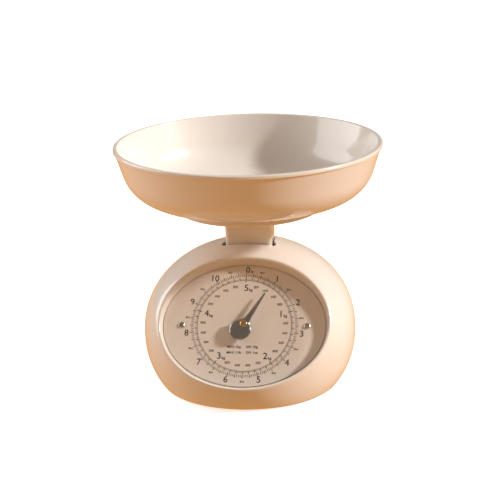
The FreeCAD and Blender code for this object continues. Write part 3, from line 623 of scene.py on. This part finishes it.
def shell_from(name, make_line, columns):
    """A shell of even wall, from one line for each step around it."""
    lines = [make_line(2 * math.pi * i / columns) for i in range(columns)]
    rows = len(lines[0])
    points = [lines[column][row] for row in range(rows) for column in range(columns)]
    obj = mesh_object(name, points, grid_faces(rows, columns, True))
    wall = obj.modifiers.new("wall", "SOLIDIFY")
    wall.thickness = SHELL
    wall.offset = -1
    wall.use_even_offset = False
    apply_modifiers(obj)
    return obj


def make_front_housing():
    """The front shell, with the column's slot and its two front notches."""
    obj = shell_from("front_housing_shell", front_line, 240)
    slot = rounded_prism("slot_cutter", *SLOT_HALF, SLOT_LOW, SLOT_HIGH, SLOT_CORNER)
    notches = rounded_prism("notch_cutter", *NOTCH_HALF, SLOT_LOW, SLOT_HIGH, NOTCH_CORNER, (0, NOTCH_Y))
    cut_with(obj, [slot, notches])
    return obj


def make_rear_cover():
    """The rear shell, with the zero wheel's slot and two sinks for its screws."""
    obj = shell_from("rear_cover_shell", rear_line, 200)
    wheel_low, wheel_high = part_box("zero_wheel")
    low = wheel_low.z - WHEEL_GAP
    high = wheel_high.z + WHEEL_GAP
    place = (0, WHEEL_SLOT_Y)
    cutters = [rounded_prism("wheel_cutter", *WHEEL_SLOT_HALF, low, high, WHEEL_SLOT_CORNER, place)]
    for x in (-SINK_X, SINK_X):
        section = [(0, 0, 0), (SINK_RADIUS, 0, 0), (SINK_RADIUS, SINK_DEPTH, 0), (0, SINK_DEPTH, 0)]
        sink = lathe("screw_sink", section, 48)
        sink.matrix_world = Matrix.Translation((x, *SINK_START)) @ Matrix.Rotation(-math.pi / 2, 4, "X")
        cutters.append(sink)
    cut_with(obj, cutters)
    return obj


# ---------------------------------------------------------------- dial printing

TURN_KG = 5
TURN_LB = 11
PRINT_HEIGHT = 0.06 * MM

# radii of both rings of ticks and of the four rings of numerals, and the width of the drawn circle
KG_RING = 41.6 * MM
LB_RING = 45.0 * MM
LB_NUMERALS = 51.4 * MM
HALF_POUNDS = 51.0 * MM
KG_NUMERALS = 34.6 * MM
GRAM_NUMERALS = 36.6 * MM
RING_LINE = 0.24 * MM

# length and width in millimetres of the ticks at every so many steps, longest steps first
KG_TICKS = {50: (2.9, 0.65), 5: (2.8, 0.55), 1: (1.7, 0.24)}
LB_TICKS = {16: (3.6, 0.6), 8: (3.2, 0.6), 4: (3.0, 0.6), 1: (2.2, 0.42)}

# a capital's height as a share of the type size, and how far strokes are widened
CAPITAL_SHARE = 0.7
BOLD = 0.008
SMALL_BOLD = 0.016
FINE = 0.01

# type heights in millimetres, and how far the numerals at zero stand right of its line
LB_HEIGHT = 5.6
KG_HEIGHT = 5.8
UNIT_HEIGHT = 2.5
SMALL_HEIGHT = 2.2
HALF_POUND_HEIGHT = 1.8
ZERO_SHIFT = Vector((1.4 * MM, 0, 0))


def clock(fraction, radius):
    """A place on the dial, clockwise from the top."""
    angle = 2 * math.pi * fraction
    return Vector((radius * math.sin(angle), radius * math.cos(angle), 0))


def print_bar(points, faces, fraction, inner, outer, width):
    along = clock(fraction, 1)
    side = Vector((along.y, -along.x, 0)) * (width / 2)
    first = len(points)
    for corner in (along * inner - side, along * inner + side, along * outer + side, along * outer - side):
        points.append((corner.x, corner.y, PRINT_HEIGHT))
    faces.append(tuple(range(first, first + 4)))


def print_circle(points, faces, radius, width, segments=360):
    first = len(points)
    for i in range(segments):
        for r in (radius - width / 2, radius + width / 2):
            place = clock(i / segments, r)
            points.append((place.x, place.y, PRINT_HEIGHT))
    for i in range(segments):
        a = first + 2 * i
        b = first + 2 * ((i + 1) % segments)
        faces.append((a, a + 1, b + 1, b))


def make_ticks():
    """Both rings of graduations: 20 g inside, 1 oz outside; a whole unit's tick also reaches inwards."""
    points, faces = [], []
    print_circle(points, faces, KG_RING, RING_LINE)
    for ring, units, ticks, reach_in in (
        (KG_RING, TURN_KG, KG_TICKS, 1.6 * MM),
        (LB_RING, TURN_LB, LB_TICKS, 0.6 * MM),
    ):
        per_unit = max(ticks)
        for i in range(units * per_unit):
            length, width = next(size for step, size in ticks.items() if i % step == 0)
            inner = ring - reach_in if i % per_unit == 0 else ring
            print_bar(points, faces, i / (units * per_unit), inner, ring + length * MM, width * MM)
    mesh = bpy.data.meshes.new("dial_graduations")
    mesh.from_pydata(points, [], faces)
    return add_object("dial_graduations", mesh)


def lettering(text, height, weight):
    """A flat mesh of generic numerals, centred on its own middle, with its strokes widened by weight."""
    curve = bpy.data.curves.new("numeral", "FONT")
    curve.body = text
    curve.align_x = "CENTER"
    curve.align_y = "CENTER"
    curve.offset = weight
    curve.resolution_u = 3
    holder = add_object("numeral", curve)
    bpy.context.view_layer.update()
    mesh = bpy.data.meshes.new_from_object(holder.evaluated_get(bpy.context.evaluated_depsgraph_get()))
    mesh.transform(Matrix.Scale(height / CAPITAL_SHARE, 4))
    bpy.data.objects.remove(holder)
    return mesh


def print_passes(text, weight):
    """A 4 can't be widened without closing its eye, so it is printed twice, a little apart."""
    if "4" in text:
        return ((-weight, 0.0), (weight, 0.0))
    return ((0.0, weight),)


def make_numerals():
    """All numerals of the dial as one flat print, upright around both rings."""
    rows = []
    for i in range(TURN_LB):
        place = clock(i / TURN_LB, LB_NUMERALS)
        if i == 0:
            place += ZERO_SHIFT
        rows.append((str(i), place, LB_HEIGHT, BOLD))
        rows.append(("8oz", clock((i + 0.5) / TURN_LB, HALF_POUNDS), HALF_POUND_HEIGHT, SMALL_BOLD))
    rows.append(("lb", Vector((5.2, 49.8, 0)) * MM, SMALL_HEIGHT, SMALL_BOLD))
    for i in range(1, TURN_KG + 1):
        place = clock(i / TURN_KG, KG_NUMERALS)
        if i == TURN_KG:
            place += ZERO_SHIFT
        rows.append((str(i), place + Vector((-0.8, 0, 0)) * MM, KG_HEIGHT, BOLD))
        rows.append(("kg", place + Vector((3.1, -1.7, 0)) * MM, UNIT_HEIGHT, SMALL_BOLD))
    for kilo in range(TURN_KG):
        for gram in (200, 400, 600, 800):
            place = clock((kilo + gram / 1000) / TURN_KG, GRAM_NUMERALS)
            rows.append((str(gram), place, SMALL_HEIGHT, FINE))
    for up, words in ((-19.6, ("MAX 5kg", "DIV 20g")), (-24.8, ("MAX 11lb", "DIV 1oz"))):
        for across, text in zip((-8.2, 7.6), words):
            rows.append((text, Vector((across, up, 0)) * MM, SMALL_HEIGHT, SMALL_BOLD))
    joined = bmesh.new()
    for text, place, height, weight in rows:
        for shift, widening in print_passes(text, weight):
            mesh = lettering(text, height * MM, widening)
            shifted = place + Vector((shift * height * MM, 0, PRINT_HEIGHT))
            mesh.transform(Matrix.Translation(shifted))
            joined.from_mesh(mesh)
            bpy.data.meshes.remove(mesh)
    result = bpy.data.meshes.new("dial_numerals")
    joined.to_mesh(result)
    joined.free()
    return add_object("dial_numerals", result)


# ---------------------------------------------------------------- pointer and its screw, dial screws

# the pointer, in millimetres along its own length from its screw: a round tail, a neck and a needle
BULB = 9.5
BULB_CENTRE = -6.0
TAIL_END = 3.0
TIP = 34.0
TIP_ROUND = 0.7
NECK_START = -2.0
NECK_END = 9.0
NECK_SLOPE = 0.62
NEEDLE_START = 8.0
NEEDLE_WIDE = 2.5
NEEDLE_THIN = 0.7
THINNEST = 0.02

# its height above the dial, its edge's thickness and how its top rises from there
POINTER_LIFT = 4.15
EDGE_THICK = 0.3
EDGE_RISE = 1.15
EDGE_REACH = 3.2
DOME_RISE = 0.35


def pointer_half_width(y):
    """Half the pointer's width at a place along it."""
    share = (y - NEEDLE_START) / (TIP - NEEDLE_START)
    needle = NEEDLE_WIDE + (NEEDLE_THIN - NEEDLE_WIDE) * share
    if y <= NECK_START:
        return math.sqrt(max(BULB ** 2 - (y - BULB_CENTRE) ** 2, 0))
    if y >= NECK_END:
        return needle
    start = math.sqrt(BULB ** 2 - (NECK_START - BULB_CENTRE) ** 2)
    blend = (y - NECK_START) / (NECK_END - NECK_START)
    ease = blend * blend * (3 - 2 * blend)
    fall = start - (y - NECK_START) * NECK_SLOPE
    return max(fall * (1 - ease) + needle * ease, needle)


def pointer_height(x, y, half):
    """The pressing's top: a quarter-round edge, a shallow dome on the tail and a low ridge on the needle."""
    from_middle = math.hypot(x, y - BULB_CENTRE)
    from_edge = max(BULB - from_middle, 0) if y < TAIL_END else 0
    from_edge = max(from_edge, half - abs(x))
    share = min(from_edge / EDGE_REACH, 1)
    dome = DOME_RISE * max(1 - (from_middle / BULB) ** 2, 0)
    return EDGE_THICK + EDGE_RISE * math.sqrt(1 - (1 - share) ** 2) + dome


def make_pointer():
    """A pressed teardrop: a softly domed round tail with rounded edges, and a tapering needle."""
    tail = BULB_CENTRE - BULB
    count = 160
    ys = [tail + (TIP - tail) * (0.5 - 0.5 * math.cos(math.pi * i / count)) for i in range(count + 1)]
    across = np.sin(np.linspace(-math.pi / 2, math.pi / 2, 41))
    points = []
    for y in ys:
        half = max(pointer_half_width(y), THINNEST)
        if y > TIP - TIP_ROUND:
            half *= math.sqrt(max(1 - ((y - TIP + TIP_ROUND) / TIP_ROUND) ** 2, THINNEST ** 2))
        for u in across:
            points.append((half * u * MM, y * MM, pointer_height(half * u, y, half) * MM))
        for u in (across[-1], across[0]):
            points.append((half * u * MM, y * MM, 0))
    columns = len(across) + 2
    faces = grid_faces(len(ys), columns, True)
    faces += [tuple(range(columns)), tuple(range(len(points) - columns, len(points)))]
    obj = mesh_object("teardrop_pointer", points, faces, 60)
    lift = Matrix.Translation((0, 0, POINTER_LIFT * MM))
    obj.data.transform(DIAL_MATRIX @ Matrix.Rotation(-READING_ANGLE, 4, "Z") @ lift)
    return obj


def in_metres(corners):
    """A section's corners, given in millimetres."""
    return [tuple(value * MM for value in corner) for corner in corners]


def make_cap():
    """The brass screw on the pointer's shaft, turned, with a hollow in its head."""
    corners = [
        (0, 5.45, 0), (1.0, 5.45, 0.1), (1.1, 6.1, 0.1), (2.4, 6.5, 0.4),
        (3.2, 6.05, 0.5), (3.2, 5.15, 0.1), (0, 5.15, 0),
    ]
    obj = lathe("pointer_cap_brass", in_metres(corners), 64, 5)
    obj.data.transform(DIAL_MATRIX)
    return obj


# the dial's two screws: how far across the dial they stand, and the cross recess in their heads
SCREW_ACROSS = 55.5 * MM
CROSS_HALF = (1.75 * MM, 0.32 * MM)
CROSS_LOW = 0.5 * MM
CROSS_HIGH = 3.0 * MM
CROSS_CORNER = 0.2 * MM


def make_dial_screw(turn):
    """A thin shank and a domed head with a cross recess, turned as the screw was left."""
    shank = [(0, -9, 0), (1.5, -9, 0.2), (1.5, 0, 0)]
    dome = [(2.9, 0, 0.1), (2.9, 0.45, 0.4), (2.1, 1.1, 1.0), (0, 1.3, 0)]
    screw = lathe("dial_screw", in_metres(shank + dome), 48, 6)
    cutters = []
    for quarter in (0, math.pi / 2):
        bar = rounded_prism("cross", *CROSS_HALF, CROSS_LOW, CROSS_HIGH, CROSS_CORNER)
        bar.matrix_world = Matrix.Rotation(turn + quarter, 4, "Z")
        cutters.append(bar)
    cut_with(screw, cutters)
    return screw


def make_dial_screws():
    """Both of the dial's screws as one mesh, as the CAD node holds them."""
    joined = bmesh.new()
    for side, turn in ((-1, 0.35), (1, -0.2)):
        screw = make_dial_screw(turn)
        screw.data.transform(Matrix.Translation((side * SCREW_ACROSS, 0, 0)))
        joined.from_mesh(screw.data)
        bpy.data.objects.remove(screw)
    mesh = bpy.data.meshes.new("dial_screw_pair")
    joined.to_mesh(mesh)
    joined.free()
    mesh.transform(DIAL_MATRIX)
    smooth(mesh, 35)
    return add_object("dial_screw_pair", mesh)


replace_node(make_bowl(), "bowl", CREAM)
replace_node(make_platform(), "platform", CREAM)
replace_node(make_front_housing(), "front_housing", CREAM)
replace_node(make_rear_cover(), "rear_cover", CREAM)
replace_node(make_pointer(), "pointer", CHROME)
replace_node(make_cap(), "pointer_cap", BRASS)

for print_piece in (make_ticks(), make_numerals()):
    print_piece.data.transform(DIAL_MATRIX)
    give(print_piece, INK)
    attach(print_piece, "root")

replace_node(make_dial_screws(), "dial_screws", SCREWS)


# ---------------------------------------------------------------- stage, light and camera

FLOOR_HALF = 6.0


def make_floor():
    """A pale floor that gives the object the warm bounce of the table it stood on."""
    mesh = bpy.data.meshes.new("studio_floor")
    corners = [(x * FLOOR_HALF, y * FLOOR_HALF, 0) for x, y in ((-1, -1), (1, -1), (1, 1), (-1, 1))]
    mesh.from_pydata(corners, [], [(0, 1, 2, 3)])
    floor = add_object("studio_floor", mesh)
    material, tree, shader = new_material("pale_floor", Roughness=0.9, Emission_Strength=0.62)
    shader.inputs["Base Color"].default_value = (0.86, 0.85, 0.84, 1)
    shader.inputs["Emission Color"].default_value = (1, 1, 1, 1)
    bounce = add_node(tree, "ShaderNodeEmission", Color=(1.0, 0.49, 0.16, 1), Strength=0.72)
    camera_sees(tree, bounce, shader, tree.nodes["Material Output"])
    give(floor, material)


def camera_sees(tree, unseen, seen, output):
    """Backdrop shading: what the view shows directly, and what it sheds on the object."""
    path = add_node(tree, "ShaderNodeLightPath")
    choice = add_node(tree, "ShaderNodeMixShader")
    tree.links.new(path.outputs["Is Camera Ray"], choice.inputs[0])
    tree.links.new(unseen.outputs[0], choice.inputs[1])
    tree.links.new(seen.outputs[0], choice.inputs[2])
    tree.links.new(choice.outputs[0], output.inputs["Surface"])


def make_world():
    """A white backdrop that sheds a weaker, warm light all round."""
    world = bpy.data.worlds.new("studio")
    world.use_nodes = True
    tree = world.node_tree
    backdrop = tree.nodes["Background"]
    backdrop.inputs["Color"].default_value = (1, 1, 1, 1)
    backdrop.inputs["Strength"].default_value = 1.0
    fill = add_node(tree, "ShaderNodeBackground", Color=(1.0, 0.79, 0.64, 1), Strength=0.27)
    camera_sees(tree, fill, backdrop, tree.nodes["World Output"])
    bpy.context.scene.world = world


def aim(obj, place, target):
    obj.location = place
    obj.rotation_euler = (Vector(target) - Vector(place)).to_track_quat("-Z", "Y").to_euler()


def add_light(kind, name, place, target, energy, colour, **values):
    light = bpy.data.lights.new(name, kind)
    light.energy = energy
    light.color = colour
    for key, value in values.items():
        setattr(light, key, value)
    obj = add_object(name, light)
    aim(obj, place, target)
    return obj


def make_lights():
    """A low sun from the right, and a soft cool light from the left that the view doesn't show."""
    centre = Vector((0, 0, 120)) * MM
    sun_place = centre + Vector((0.87, -0.03, 0.485))
    sun_colour = (1.0, 0.99, 0.98)
    add_light("SUN", "key_sun", sun_place, centre, 3.8, sun_colour, angle=math.radians(6))
    fill_place = Vector((-0.95, 0.1, 0.5))
    fill_colour = (0.94, 0.97, 1.0)
    fill = add_light("AREA", "left_fill", fill_place, centre, 8.0, fill_colour, shape="DISK", size=1.0)
    fill.visible_camera = False


def make_camera():
    """The view on the object: from 1.5 m, a little to the right and above, and slightly rolled."""
    azimuth = math.radians(6.34)
    elevation = math.radians(17.13)
    roll = math.radians(1.66)
    target = Vector((-0.62, 0, 114.24)) * MM
    distance = 1.5
    back = Vector((
        math.sin(azimuth) * math.cos(elevation),
        -math.cos(azimuth) * math.cos(elevation),
        math.sin(elevation),
    ))
    right = Vector((math.cos(azimuth), math.sin(azimuth), 0))
    up = back.cross(right)
    rolled_right = right * math.cos(roll) - up * math.sin(roll)
    rolled_up = right * math.sin(roll) + up * math.cos(roll)
    data = bpy.data.cameras.new("camera")
    data.sensor_width = 36
    data.lens = 118.598
    data.clip_start = 0.05
    camera = add_object("camera", data)
    turn = Matrix((rolled_right, rolled_up, back)).transposed()
    camera.matrix_world = Matrix.Translation(target + back * distance) @ turn.to_4x4()
    bpy.context.scene.camera = camera


make_floor()
make_world()
make_lights()
make_camera()
bpy.context.scene.view_settings.view_transform = "Standard"
